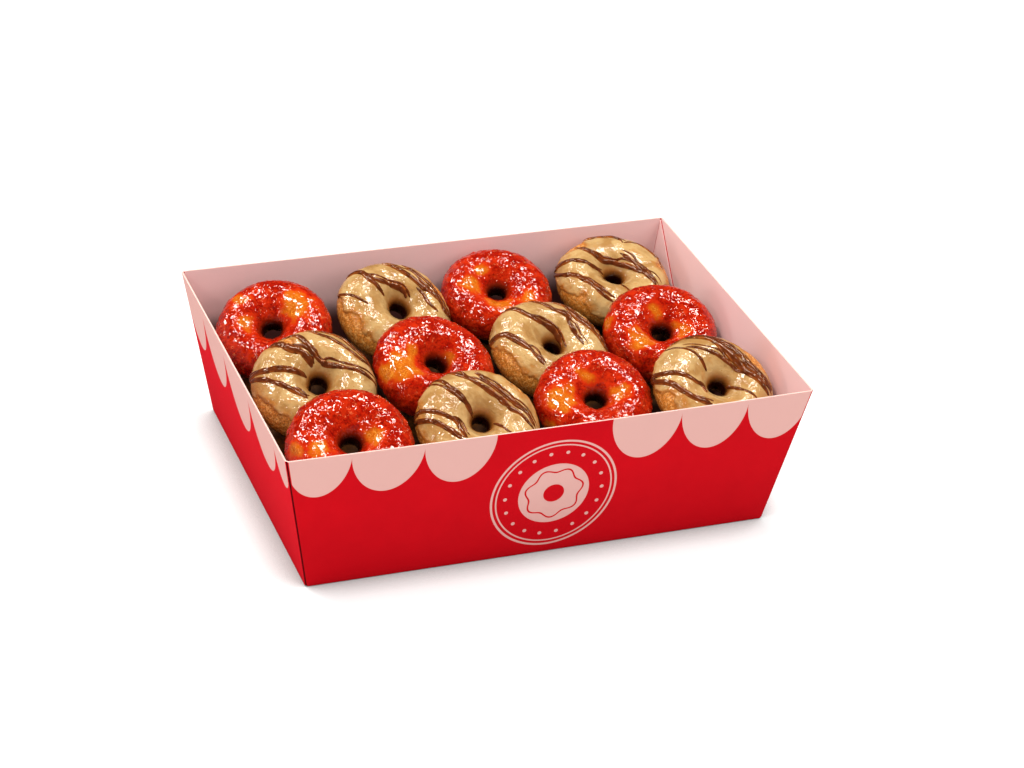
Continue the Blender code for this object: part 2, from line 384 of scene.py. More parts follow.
class Sheet:
    """One material's node tree, with a Principled shader ready to be wired."""

    def __init__(self, name, **fixed):
        self.material = bpy.data.materials.new(name)
        self.material.use_nodes = True
        self.tree = self.material.node_tree
        self.shader = self.tree.nodes["Principled BSDF"]
        self.paint(**fixed)

    def feed(self, socket, value):
        """Link a wire to a socket, or set a plain value on it."""
        if isinstance(value, Wire):
            self.tree.links.new(value.socket, socket)
        elif hasattr(value, "__len__"):
            socket.default_value = (*value, 1.0) if len(socket.default_value) == 4 else value
        else:
            socket.default_value = value

    def node(self, kind, settings=None, inputs=None, output=0):
        """Add a node: its settings come first, then the values or links of its sockets."""
        made = self.tree.nodes.new("ShaderNode" + kind)
        for key, value in (settings or {}).items():
            setattr(made, key, value)
        for key, value in (inputs or {}).items():
            self.feed(made.inputs[key], value)
        return Wire(self, made.outputs[output])

    def layer(self, name):
        """The piece's own number layer of that name."""
        return self.node("Attribute", {"attribute_name": name}, output="Fac")

    def place(self):
        """Object coordinates."""
        return self.node("TexCoord", output="Object")

    def axes(self):
        """X, Y and Z of the object coordinates, in millimetres."""
        split = self.node("SeparateXYZ", None, {0: self.place()}).socket.node
        return [Wire(self, out) * 1000 for out in split.outputs]

    def grain(self, size, detail=2.0, roughness=0.5, distortion=0.0):
        """Noise with features of about this size, from 0 to 1."""
        return self.node("TexNoise", None, {
            "Vector": self.place(), "Scale": 1 / size, "Detail": detail,
            "Roughness": roughness, "Distortion": distortion,
        })

    def flakes(self, size, output="Distance"):
        """Distance to the nearest of scattered points this far apart, or its own colour."""
        return self.node("TexVoronoi", None, {
            "Vector": self.place(), "Scale": 1 / size,
        }, output)

    def vector(self, operation, *values):
        """Vector Math on wires or plain vectors."""
        return self.node("VectorMath", {"operation": operation}, dict(enumerate(values)))

    def facets(self, size, spread, share):
        """The surface's normal, turned at random in each cell of this size, where share is 1."""
        middle = (0.5, 0.5, 0.5)
        cell = self.mix(share, middle, self.flakes(size, "Color"))
        turn = self.vector("SUBTRACT", cell, middle)
        turn = self.vector("MULTIPLY", turn, (spread, spread, spread))
        normal = self.node("NewGeometry", output="Normal")
        return self.vector("NORMALIZE", self.vector("ADD", normal, turn))

    def blend(self, factor, first, second):
        """Blend two numbers."""
        return self.node("Mix", {"data_type": "FLOAT"}, {0: factor, 2: first, 3: second})

    def mix(self, factor, first, second):
        """Blend two colours."""
        return self.node("Mix", {"data_type": "RGBA"}, {0: factor, 6: first, 7: second}, 2)

    def relief(self, height, distance, strength=1.0, normal=None):
        """Bump the surface, or a normal already turned, by a height."""
        wires = {"Height": height, "Distance": distance, "Strength": strength}
        if normal is not None:
            wires["Normal"] = normal
        self.feed(self.shader.inputs["Normal"], self.node("Bump", None, wires))

    def paint(self, **sockets):
        """Feed the shader's own sockets."""
        for socket, value in sockets.items():
            self.feed(self.shader.inputs[socket.replace("_", " ")], value)
        return self.material


def dim(color, share):
    """A plain colour times a number."""
    return tuple(part * share for part in color)


# ---------------------------------------------------------------- rings
SECTORS = 24  # of a ring, each giving one point of its outer circle and one of its hole


@dataclass
class Ring:
    """A doughnut's ring as its solid gives it."""

    name: str
    number: int
    centre: np.ndarray
    right: np.ndarray
    back: np.ndarray
    up: np.ndarray
    radius: float
    hole: np.ndarray
    half_height: float

    @property
    def tube(self):
        """About half the width of its section."""
        return self.radius * 0.4

    def reach(self, across):
        """About how far from its axis a point of its section lies."""
        return self.radius * (0.6 + 0.4 * np.cos(across))


def read_ring(name, number):
    """Ring of a packed doughnut, by least squares.

    Up is the direction in which its points spread least. The farthest point of every sector
    lies on the outer circle, and the nearest gives the hole's edge as h0 + h1 cos + h2 sin.
    """
    points = np.unique(solid_points(name).astype(float).round(6), axis=0)
    middle = points.mean(0)
    up = np.linalg.svd(points - middle, full_matrices=False)[2][2]
    up = up * np.sign(up[2])
    right = unit(np.cross((0.0, 1.0, 0.0), up))
    back = np.cross(up, right)

    def outline(about, pick):
        """The point of each sector that pick chooses by its reach: u, v and that reach."""
        local = points - about
        u, v = local @ right, local @ back
        reach = np.hypot(u, v)
        sector = np.round(np.arctan2(v, u) / TAU * SECTORS).astype(int) % SECTORS
        chosen = [np.flatnonzero(sector == k)[pick(reach[sector == k])] for k in range(SECTORS)]
        return u[chosen], v[chosen], reach[chosen]

    u, v, reach = outline(middle, np.argmax)
    table = np.stack([2 * u, 2 * v, np.ones(SECTORS)], -1)
    found = np.linalg.lstsq(table, reach**2, rcond=None)[0]
    centre = middle + found[0] * right + found[1] * back
    radius = math.sqrt(found[2] + found[0] ** 2 + found[1] ** 2)
    u, v, reach = outline(centre, np.argmin)
    turn = np.arctan2(v, u)
    table = np.stack([np.ones(SECTORS), np.cos(turn), np.sin(turn)], -1)
    hole = np.linalg.lstsq(table, reach, rcond=None)[0]
    height = (points - centre) @ up
    centre = centre + up * (height.max() + height.min()) / 2
    return Ring(name, number, centre, right, back, up, radius, hole, np.ptp(height) / 2)


def on_ring(ring, around, across):
    """Points and outward normals of the plain ring.

    At an angle round the ring the section is an ellipse from the hole's edge to the outer
    circle: centre + spoke * (middle radius + half width * cos) + up * half height * sin.
    """
    hole = ring.hole[0] + ring.hole[1] * np.cos(around) + ring.hole[2] * np.sin(around)
    half = (ring.radius - hole) / 2
    spoke = np.cos(around)[..., None] * ring.right + np.sin(around)[..., None] * ring.back
    out = ring.radius - half + half * np.cos(across)
    points = ring.centre + out[..., None] * spoke
    points = points + (ring.half_height * np.sin(across))[..., None] * ring.up
    normals = (ring.half_height * np.cos(across))[..., None] * spoke
    normals = unit(normals + (half * np.sin(across))[..., None] * ring.up)
    return points, normals


def section_tilt(across):
    """The section's angle from -90 below, by 0 outside and 90 on top, to 270 degrees."""
    return (across + math.pi / 2) % TAU - math.pi / 2


def patches(ring, around, across, spots, wander, softness):
    """1 inside round spots on the surface, with wandering edges, and 0 away from them."""
    best = np.full(np.shape(around), -9.0)
    for turn, over, radius in spots:
        dx = (around - math.radians(turn) + math.pi) % TAU - math.pi
        dy = (across - math.radians(over) + math.pi) % TAU - math.pi
        away = np.hypot(dx * ring.reach(across), dy * ring.tube)
        best = np.maximum(best, radius * MM - away)
    return ease(best + wander, -softness * MM, softness * MM)


def shading(ring, across):
    """How far down the hole and how low on the outside a point lies, both from 0 to 1. The
    materials paint shade with both.
    """
    tilt = section_tilt(across)
    pit = ease(tilt, np.radians(135), np.radians(196))
    low = ease(-np.sin(tilt) * ring.half_height, -5 * MM, 9 * MM)
    outside = np.cos(tilt) > -0.1
    return pit, low * outside + 1.0 * ~outside * (tilt < 0)


def throat(across):
    """How much the hole narrows at its middle and below, in mm.

    A bell curve of 2.6 mm over the section's angle, its top at 192 and its width 38 degrees.
    """
    return 2.6 * np.exp(-(((across % TAU - np.radians(192)) / np.radians(38)) ** 2))


def jelly_surface(ring, around, across):
    """A ring under chunky jelly: the plain ring moved along its normals.

    The move is soft unevenness and lumps, plus tilted shards of about 4 and 2 mm that calm
    down in the thin spots and the hole. A thin spot lies a little lower.
    """
    points, normals = on_ring(ring, around, across)
    seed = ring.number
    uneven, lumps, small, wave = noises(points, seed, (17, 0), (6, 20), (2.7, 40), (5, 80))
    wander = 2.4 * MM * wave + 1.3 * MM * small
    thin = patches(ring, around, across, THIN_GLAZE[ring.name], wander, 4.0)
    pit, low = shading(ring, across)
    bent = points + 0.8 * MM * small[..., None] * normals
    chunks = shards(bent, 3.8 * MM, seed + 100)
    chips = shards(bent, 2.4 * MM, seed + 130)
    calm = (1 - 0.75 * thin) * (1 - 0.7 * pit)
    rise = 0.4 * uneven + 0.3 * lumps + (0.36 * chunks + 0.16 * chips + 0.12 * small) * calm
    rise = (rise - 0.3 * thin - 0.35 + throat(across)) * MM
    layers = {"thin": thin, "pit": pit, "low": low}
    return points + normals * rise[..., None], normals, layers


def caramel_surface(ring, around, across):
    """A ring with icing on its upper side: the plain ring moved along its normals.

    The icing ends on the outer side at a wavy line that climbs at the high edges, and on the
    inner side deep in the hole. Over it the move is the icing's depth, soft ripples and a
    raised rim, and past it a crumbly crust. The layer "edge" is the distance in mm from the
    nearer end, above 0 on the icing.
    """
    points, normals = on_ring(ring, around, across)
    depth = bpy.context.scene.doughnut_looks.icing_depth
    uneven, soft, drip = noises(points, ring.number, (17, 0), (9, 20), (7, 30))
    ripple, small, crumb = noises(points, ring.number, (3.4, 50), (2.2, 40), (1.3, 60))
    tilt = section_tilt(across)
    line = 2 + 14 * drip + 8 * small + 5 * ripple  # the outer end, in degrees
    for turn, height, width in HIGH_EDGE[ring.name]:
        away = (np.degrees(around) - turn + 180) % 360 - 180
        line = line + height * np.exp(-((away / width) ** 2))
    outer = (tilt - np.radians(line)) * ring.tube
    inner = (np.radians(225 + 20 * drip) - tilt) * ring.tube
    edge = np.minimum(outer, inner)
    cover = ease(edge, -1.5 * MM, 1.3 * MM)
    rim = np.exp(-(((edge / MM - 1.2) / 1.1) ** 2))
    rise = 0.45 * uneven + 0.14 * crumb * (1 - cover) + 0.06 * small + throat(across)
    rise += (0.32 * soft + 0.14 * drip + 0.18 * ripple) * cover + 0.16 * rim - 0.85
    rise = rise * MM + depth * cover
    pit, low = shading(ring, across)
    layers = {"edge": np.clip(edge / MM, -9, 9), "pit": pit, "low": low}
    return points + normals * rise[..., None], normals, layers


def ring_piece(ring, surface, material, slot):
    """One doughnut as a closed grid, round the ring and over its section."""
    looks = bpy.context.scene.doughnut_looks
    rows, columns = looks.steps_around, looks.steps_across
    around = np.linspace(0, TAU, rows, endpoint=False)[:, None] + np.zeros(columns)
    across = np.linspace(0, TAU, columns, endpoint=False) + np.zeros((rows, 1))
    points, _, layers = surface(ring, around, across)
    quads = grid_faces(rows, columns, True, True)
    piece = make_piece("glazed_" + ring.name, points.reshape(-1, 3), quads, None, layers)
    settle(piece, material, slot, ring.name)


def smooth_path(stops, count):
    """Points along a Catmull-Rom curve through the stops, evenly spread over its spans."""
    stops = np.asarray(stops, float)
    ends = np.concatenate([2 * stops[:1] - stops[1:2], stops, 2 * stops[-1:] - stops[-2:-1]])
    t = np.linspace(0, len(stops) - 1, count)
    span = np.minimum(t.astype(int), len(stops) - 2)
    f = (t - span)[:, None]
    a, b, c, d = (ends[span + k] for k in range(4))
    return 0.5 * (2 * b + (c - a) * f + (2 * a - 5 * b + 4 * c - d) * f**2
                  + (3 * b - a - 3 * c + d) * f**3)


def chocolate_line(ring, width, stops, seed, aside=0.0):
    """A rounded line of chocolate on the icing, or a strand that wanders beside it.

    Its section is a half round: side * half width * cos + normal * height * sin, sunk a
    little into the icing. It swells, thins and ends in points. The layer "flank" is how far
    out on the section a point lies.
    """
    steps, section = 16, 12  # rings for each stop, and points in a ring
    count = steps * len(stops)
    path = np.radians(smooth_path(stops, count))
    run = np.linspace(0, 1, count)
    reach = np.stack([ring.reach(path[:, 1]), np.full(count, ring.tube)], -1)
    heading = unit(np.gradient(path * reach, axis=0))
    spots = np.stack([run * len(stops) * 10.4 * MM, 0 * run, 0 * run], -1)
    sway = aside * width * (1 + 0.5 * noise(spots, 9 * MM, seed + 3))
    sway = sway + 0.4 * noise(spots, 9 * MM, seed + 7)
    path = path + sway[:, None] * MM * heading[:, ::-1] * (-1, 1) / reach
    points, normals, _ = caramel_surface(ring, path[:, 0], path[:, 1])
    along = unit(np.gradient(points, axis=0))
    side = unit(np.cross(normals, along))
    swell = 1 + 0.35 * noise(spots, 7 * MM, seed)
    half = 0.72 * width * MM * swell * np.sqrt(1 - np.abs(2 * run - 1) ** 4 + 0.01)
    tall = 0.5 * half + 0.16 * MM
    turn = np.linspace(0, TAU, section, endpoint=False)
    across = np.cos(turn)[None, :, None] * (half[:, None] * side)[:, None]
    upward = np.where(np.sin(turn) > 0, np.sin(turn), 0.35 * np.sin(turn))
    lift = upward[None, :, None] * (tall[:, None] * normals)[:, None]
    rings = points[:, None] + across + lift - 0.04 * MM * normals[:, None]
    flank = np.broadcast_to(np.abs(np.cos(turn)), (count, section))
    return *capped_tube(rings[::-1]), np.append(flank, (1.0, 1.0))


# ---------------------------------------------------------------- carton
def carton_size():
    """Half length and half width of the tray at its rim and at its base, and its height."""
    points = solid_points("tray")
    height = points[:, 2].max()
    rim = points[points[:, 2] > height - 0.1 * MM]
    base = points[points[:, 2] < 0.1 * MM]
    return (rim[:, 0].max(), rim[:, 1].max()), (base[:, 0].max(), base[:, 1].max()), height


RIM, BASE, HEIGHT = carton_size()


def carton_half(z, inset=0.0):
    """Half sizes of the wall's plan at height z, moved in by a board's distance."""
    part = np.asarray(z) / HEIGHT
    return [
        base + (rim - base) * part - inset * math.hypot(1, (rim - base) / HEIGHT)
        for rim, base in zip(RIM, BASE)
    ]


def carton_profile(board):
    """Rows of the sheet's section, one closed loop round the tray for each.

    A row is its inset, its height, its share of the soft inner corner, its scale towards the
    middle, and its face: 0 outside, 1 the cut rim, 2 inside.
    """
    outer_fold, inner_fold = 0.7 * MM, 1.2 * MM
    walls = np.linspace(0.05, 0.97, 14) * HEIGHT
    near_rim = (HEIGHT - 0.30 * MM, HEIGHT - 0.12 * MM)
    rows = [(0, 0, 0, scale, 0) for scale in (0.02, 0.5, 0.9)]
    for turn in np.radians((0, 20, 45, 70, 90)):
        rows.append((
            outer_fold * (1 - math.sin(turn)), outer_fold * (1 - math.cos(turn)), 0, 1, 0
        ))
    rows += [(0, z, 0, 1, 0) for z in (*walls, *near_rim)]
    rows += [
        (0.05 * MM, HEIGHT - 0.03 * MM, 0, 1, 1),
        (0.15 * MM, HEIGHT, 0.1, 1, 1),
        (board - 0.15 * MM, HEIGHT, 0.9, 1, 1),
        (board - 0.05 * MM, HEIGHT - 0.03 * MM, 1, 1, 1),
    ]
    rows += [(board, z, 1, 1, 2) for z in (*near_rim[::-1], *walls[::-1])]
    for turn in np.radians((0, 30, 60, 90)):
        rows.append((
            board + inner_fold * (1 - math.cos(turn)),
            board + inner_fold * (1 - math.sin(turn)), 1, 1, 2,
        ))
    rows += [(board + inner_fold, board, 1, scale, 2) for scale in (0.9, 0.5, 0.02)]
    return np.array(rows, float)


def carton_shell():
    """The folded sheet as one closed surface, a profile carried round the tray.

    The profile runs from the middle of the base, round the base fold, up the outside, over
    the cut rim, down the inside and round the inner fold to the middle of the floor. Round
    the tray, each side is straight and each corner is a seam outside and a soft fold inside.
    The layer "crease" is 1 in the middle of a corner.
    """
    looks = bpy.context.scene.carton_looks
    seam = np.array([(1.35, 0), (1.15, 0.02), (1.0, 0.12), (0.93, 0.45), (0.72, 0.72),
                     (0.45, 0.93), (0.12, 1.0), (0.02, 1.15), (0, 1.35)]) * MM
    sharp = np.array([0.4, 0.5, 0.6, 0.9, 1.0, 0.9, 0.6, 0.5, 0.4])
    quarter = np.linspace(0, math.pi / 2, len(seam))
    fold_radius, corner_room = 1.3 * MM, 1.6 * MM
    fold = np.stack([1 - np.sin(quarter), 1 - np.cos(quarter)], -1) * fold_radius
    inset, z, inner, scale, face = carton_profile(looks.board).T[:, :, None]
    half = carton_half(z, inset)
    corner = seam[None] * (1 - inner[..., None]) + fold[None] * inner[..., None]
    run = np.linspace(-1, 1, 41)[None]
    loops, crease = [], []
    for side in range(4):
        this, other = half if side % 2 == 0 else half[::-1]
        x = run * (this - corner_room)
        y = -other + 0 * x
        if side == 0:
            y = y - looks.bow * (z / HEIGHT) * (1 - run**2)
        x = np.concatenate([x, this - corner[..., 0]], 1) * scale
        y = np.concatenate([y, -other + corner[..., 1]], 1) * scale
        c, s = round(math.cos(side * math.pi / 2)), round(math.sin(side * math.pi / 2))
        loops.append(np.stack([c * x - s * y, s * x + c * y, z + 0 * x], -1))
        crease.append(np.concatenate([0 * run + 0 * z, sharp + 0 * z], 1))
    points = np.concatenate(loops, 1)
    return capped_layers(
        points, crease=np.concatenate(crease, 1), face=face + 0 * points[..., 0]
    )


def corner_flap(sign_x, sign_y):
    """A glued flap on the inside of an end wall, closed, with a slanted upper edge.

    A thin rounded section of 24 points is carried up the wall, and its width shrinks along
    the slant. The layer "crease" marks its free edge.
    """
    looks = bpy.context.scene.carton_looks
    reach, drop, tip = 36 * MM, 28 * MM, 1.0 * MM
    top, floor = HEIGHT - 1.0 * MM, looks.board + 1.3 * MM
    z = np.concatenate([np.linspace(floor, top - drop, 8)[:-1], np.linspace(top - drop, top, 24)])
    width = np.minimum(reach, tip + (top - z) * (reach - tip) / drop)
    run = np.concatenate([np.linspace(0, 1, 12), np.linspace(1, 0, 12)])
    depth = np.concatenate([np.full(12, looks.flap), np.full(12, 0.04 * MM)])
    depth[[11, 12]] = looks.flap - 0.05 * MM, 0.1 * MM
    out = run * width[:, None]
    out[:, [10, 13]] = out[:, [11, 12]] - 0.08 * MM
    level = z[:, None] + 0 * depth
    half_x = carton_half(level, looks.board + depth)[0]
    half_y = carton_half(level, looks.board + 0.1 * MM)[1]
    points = np.stack([sign_x * half_x, sign_y * (half_y - out), level], -1)
    edge = np.zeros(24)
    edge[[11, 12]] = 1
    if sign_x * sign_y < 0:
        points, edge = points[:, ::-1], edge[::-1]
    return capped_layers(points, crease=edge + 0 * out, face=2 + 0 * out)


# ---------------------------------------------------------------- layer below
def mound_surface():
    """Points, quads and triangles of the layer that the doughnuts lie on, closed below.

    Its top is level, and under every doughnut it rises by thick * sqrt(1 - t squared), where
    t is the distance from the middle of the ring's width over half of that width.
    """
    gap, thick = 1.8 * MM, 11 * MM
    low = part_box("layer_below")[0].z
    u, v = np.meshgrid(np.linspace(-1, 1, 201), np.linspace(-1, 1, 151))
    half = carton_half(36 * MM, gap)
    x, y = u * half[0], v * half[1]
    top = np.full(x.shape, low + 22 * MM)
    for name in sorted((*THIN_GLAZE, *CHOCOLATE)):
        ring = read_ring(name, 0)
        away = np.hypot(x - ring.centre[0], y - ring.centre[1] + 1 * MM)
        across = np.clip(1 - ((away - ring.radius * 0.6) / ring.tube) ** 2, 0, 1)
        top = np.maximum(top, 26 * MM + thick * np.sqrt(across))
    spots = np.stack([x, y, 0 * x], -1)
    top = top + 0.5 * MM * noise(spots, 6 * MM, 3) + 0.25 * MM * noise(spots, 2 * MM, 4)
    size_x, size_y = carton_half(top, gap)
    surface = np.stack([u * size_x, v * size_y, top], -1)
    rows, columns = top.shape
    index = np.arange(rows * columns).reshape(rows, columns)
    rim = np.concatenate([index[0, :-1], index[:-1, -1], index[-1, :0:-1], index[:0:-1, 0]])
    floor = low + 0.2 * MM
    foot_x, foot_y = carton_half(floor, gap)
    foot = np.stack([u.ravel()[rim] * foot_x, v.ravel()[rim] * foot_y, 0 * rim + floor], -1)
    below = np.arange(len(rim)) + rows * columns
    walls = np.stack([below, np.roll(below, -1), np.roll(rim, -1), rim], -1)
    base = fan(below[::-1], rows * columns + len(rim))
    points = np.concatenate([surface.reshape(-1, 3), foot, [(0, 0, floor)]])
    return points, np.concatenate([grid_faces(rows, columns, False, False), walls]), base


# ---------------------------------------------------------------- materials
def carton_material():
    """Satin print on board: scallops and a round badge outside, plain pink lining inside. Painted
    light brightens the end walls, and painted shade darkens the corner seams, the outside near the
    base and the lining low down.
    """
    looks = bpy.context.scene.carton_looks
    rim, base, height = [np.asarray(size) / MM for size in (RIM, BASE, HEIGHT)]
    sheet = Sheet("printed_carton", Specular_IOR_Level=0.02)
    x, y, z = sheet.axes()
    face, crease = sheet.layer("face"), sheet.layer("crease")
    side_x, side_y = [
        z * float((rim[k] - base[k]) / height) + float(base[k]) for k in (0, 1)
    ]
    end = (abs(x) - side_x) > (abs(y) - side_y)
    front = y < 0
    down = float(height) - z
    along = sheet.blend(front, x * -1, x) + float(rim[0])

    def scallops(along, hang, spans):
        """Pink above a row of rounded drops, each from one place along the side to another.

        A drop's edge lies at hang + (depth - hang) * (1 - part squared) to the power 0.55.
        """
        level = 0.0
        for first, last, depth in spans:
            part = (along - (first + last) / 2) / ((last - first) / 2)
            bulge = (1 - part * part).larger(0.0)
            level = bulge.math("POWER", 0.55) * (depth - hang) + (bulge > 0.0) * hang + level
        return (level - down).ramp(-0.12, 0.12)

    long_sides = scallops(along, 2.0, (
        (1, 31, 22.5), (31, 65.5, 24.0), (65.5, 100, 24.5),
        (157, 192, 25.5), (192, 226, 25.5), (226, 259, 25.5),
    ))
    short_sides = scallops(y + float(rim[1]), 4.0, (
        (1, 23, 20), (23, 67, 29), (67, 111, 34), (111, 150, 33.5), (150, 187, 34),
    ))
    pattern = sheet.blend(end, long_sides, short_sides)

    # The badge: two thin circles, a circle of dots, and a ring with a wavy line in it. Each
    # is above 0 inside its shape, by the distance to its edge in mm.
    dot_count, dot_circle, dot_radius = 18, 24.2, 0.95
    u, v = along - 132.3, 40.0 - down
    away = (u * u + v * v).math("SQRT")
    turn = v.math("ARCTAN2", u)
    rings = (0.55 - abs(away - 31.0)).larger(0.38 - abs(away - 28.7))
    beat = (turn * (dot_count / TAU) + 0.5).math("FRACT") - 0.5
    aside, outward = beat * beat * (dot_circle * TAU / dot_count) ** 2, away - dot_circle
    dots = dot_radius - (aside + outward * outward).math("SQRT")
    wavy = (turn * 7).math("SINE") * 1.1 + 13.6
    icon = (17.6 - away).smaller(away - 5.2).smaller(abs(away - wavy) - 0.45)
    badge = rings.larger(dots).larger(icon).ramp(-0.12, 0.12) * front * (1 - end)
    pattern = pattern.larger(badge)

    fibre = sheet.grain(0.5 * MM, 3.0, 0.6)
    mottle = sheet.grain(14 * MM, 2.0)
    red = sheet.mix(mottle, dim(looks.red, 0.92), dim(looks.red, 1.08))
    # Painted light: both end walls are coloured about a fifth brighter, as if more light fell on
    # them from the side.
    red = sheet.mix(end, red, (looks.red[0] * 1.22, 0.005, 0.014))
    outside = sheet.mix(pattern, red, tuple(looks.pink))
    outside = sheet.mix(crease.ramp(0.25, 0.45), outside, red)
    # Painted shadow: a near-black line in the middle of each outside corner seam, where the groove
    # between the panels lies in shade.
    outside = sheet.mix(crease.ramp(0.6, 0.95), outside, dim(looks.red, 0.12))
    lining = sheet.mix(mottle, dim(looks.lining, 0.97), tuple(looks.lining))
    # Painted shade: the lining turns dark grey-red below 41 to 54 mm, where the doughnuts shade
    # the walls.
    lining = sheet.mix(z.ramp(41.0, 54.0, 0.95, 0.0), lining, (0.12, 0.03, 0.025))
    lining = sheet.mix(crease.ramp(0.55, 0.95), lining, dim(looks.red, 0.8))
    cut = sheet.mix(fibre, tuple(looks.cut_edge), dim(looks.cut_edge, 0.9))
    # Painted shade: the outside darkens a little towards the base.
    outside = sheet.mix(z.ramp(2.0, 52.0, 0.16, 0.0), outside, dim(looks.red, 0.3))
    color = sheet.mix(face.ramp(0.4, 0.6), outside, cut)
    color = sheet.mix(face.ramp(1.4, 1.6), color, lining)
    sheet.relief(fibre + mottle * 0.5, 0.02 * MM, 0.5)
    return sheet.paint(Base_Color=color, Roughness=fibre * 0.12 + 0.36)


def jelly_material():
    """Glossy red jelly that thins to amber over golden dough, full of small bright facets, with
    painted glints, and painted shade down the hole and low on the outer side.
    """
    looks = bpy.context.scene.doughnut_looks
    sheet = Sheet("red_jelly", IOR=1.42)
    thin, pit, low = sheet.layer("thin"), sheet.layer("pit"), sheet.layer("low")
    clots = sheet.grain(5 * MM, 3.0, 0.6)
    grit = sheet.grain(1.2 * MM, 2.5, 0.6, 0.5)
    sugar = sheet.grain(0.75 * MM, 2.0, 0.6)
    depth = 1.0 - thin * 1.1 + (clots - 0.5) * 0.9 + (grit - 0.5) * 0.7
    red, amber = tuple(looks.jelly), tuple(looks.amber)
    bright = (0.50, 0.022, 0.003)
    orange = tuple(0.5 * a + 0.5 * b for a, b in zip(amber, bright))
    deep = sheet.mix(sugar.ramp(0.38, 0.60), dim(red, 0.5), red)
    color = sheet.mix(depth.ramp(0.8, 1.15), bright, deep)
    color = sheet.mix(depth.ramp(0.3, 0.75), orange, color)
    color = sheet.mix(depth.ramp(-0.05, 0.5), amber, color)
    grains = (sugar * 0.6 + grit * 0.4).ramp(0.47, 0.60)
    gold = sheet.mix(grains, dim(amber, 0.85), (0.78, 0.32, 0.04))
    color = sheet.mix(depth.ramp(-0.30, 0.25), gold, color)
    # Painted shade: the jelly darkens low on the outer side and underneath.
    color = sheet.mix(low * 0.7, color, (0.16, 0.006, 0.002))
    # Thin bright orange curls: partly grain in the jelly and partly painted glints on the edges of
    # its lumps, kept off the underside and the hole.
    curl = sheet.grain(2.4 * MM, 2.0, 0.5, 1.5)
    grain_and_glint = abs(curl - 0.5).ramp(0.012, 0.030, 1.0, 0.0) * sheet.grain(3.2 * MM).ramp(0.58, 0.66)
    color = sheet.mix(grain_and_glint * (1 - low) * (1 - pit) * 0.45, color, (0.95, 0.30, 0.11))
    # Painted shade: dark red-brown, then near black, down the hole.
    color = sheet.mix(pit.ramp(0.0, 0.5), color, (0.20, 0.012, 0.002))
    color = sheet.mix(pit.ramp(0.25, 0.75), color, (0.012, 0.0008, 0.0005))
    clusters = sheet.grain(6.5 * MM, 1.5, 0.5, 0.8).ramp(0.46, 0.56, 0.2, 1.0)
    normal = sheet.facets(2.0 * MM, 0.36, clusters)
    sheet.relief(grit + clots * 0.5, 1.0 * MM, 0.035, normal)
    return sheet.paint(Base_Color=color, Roughness=grit * 0.03 + 0.01)


def caramel_material():
    """Smooth beige icing, stained brown where it thins out, over a mottled golden crust. Its paler
    patches are partly the icing's own tone and partly painted sheen, and painted shade darkens it
    down the hole and low on the outer side.
    """
    looks = bpy.context.scene.doughnut_looks
    sheet = Sheet("caramel_icing", IOR=1.44)
    edge, pit, low = sheet.layer("edge"), sheet.layer("pit"), sheet.layer("low")
    cloud = sheet.grain(6 * MM, 3.0, 0.55)
    spots = sheet.grain(1.6 * MM, 2.0, 0.6)
    crumb = sheet.grain(0.8 * MM, 3.0, 0.65)
    icing, crust = tuple(looks.icing), tuple(looks.crust)
    pale = (0.52, 0.33, 0.133)
    stain = (0.40, 0.14, 0.022)
    wash = sheet.grain(11 * MM, 2.0, 0.5, 0.6)
    # Paler patches at random: partly the icing's own tone, and partly painted sheen standing for
    # broad soft highlights.
    iced = sheet.mix((cloud * 0.4 + wash * 0.6).ramp(0.38, 0.60), icing, pale)
    iced = sheet.mix((edge + (cloud - 0.5) * 12.0).ramp(0.0, 6.0, 0.8, 0.0), iced, stain)
    iced = sheet.mix(cloud.ramp(0.56, 0.70) * 0.45, iced, stain)
    speck = sheet.flakes(3.4 * MM).ramp(0.06, 0.12, 0.6, 0.0)
    iced = sheet.mix(speck, iced, dim(crust, 0.5))
    bare = sheet.mix(crumb.ramp(0.35, 0.65), dim(crust, 0.55), crust)
    bare = sheet.mix(spots.ramp(0.50, 0.66) * 0.6, bare, (0.80, 0.42, 0.12))
    seam = (edge + (cloud - 0.5) * 5.0).ramp(-2.0, 0.0, 0.0, 0.35)
    bare = sheet.mix(seam, bare, (0.30, 0.08, 0.012))
    # Painted shade: the bare crust turns near black low on the outer side and underneath.
    bare = sheet.mix(low * 0.8, bare, (0.06, 0.016, 0.004))
    mask = (edge + (spots - 0.5) * 4.0 + (cloud - 0.5) * 9.0).ramp(-1.0, 1.8)
    # Painted shade: the icing darkens low on the outer side.
    iced = sheet.mix(low * 0.75, iced, (0.26, 0.095, 0.02))
    color = sheet.mix(mask, bare, iced)
    # Painted shade: brown, then near black, down the hole.
    color = sheet.mix(pit.ramp(0.0, 0.45), color, (0.27, 0.085, 0.014))
    color = sheet.mix(pit.ramp(0.25, 0.75), color, (0.012, 0.0012, 0.0006))
    wrinkle = sheet.grain(3.0 * MM, 1.5, 0.5, 1.2)
    sheet.relief(cloud * 0.6 + wrinkle + crumb * (1 - mask) * 0.4, 0.9 * MM, 0.42)
    return sheet.paint(Base_Color=color, Roughness=0.2 - mask * 0.14 + crumb * 0.06)


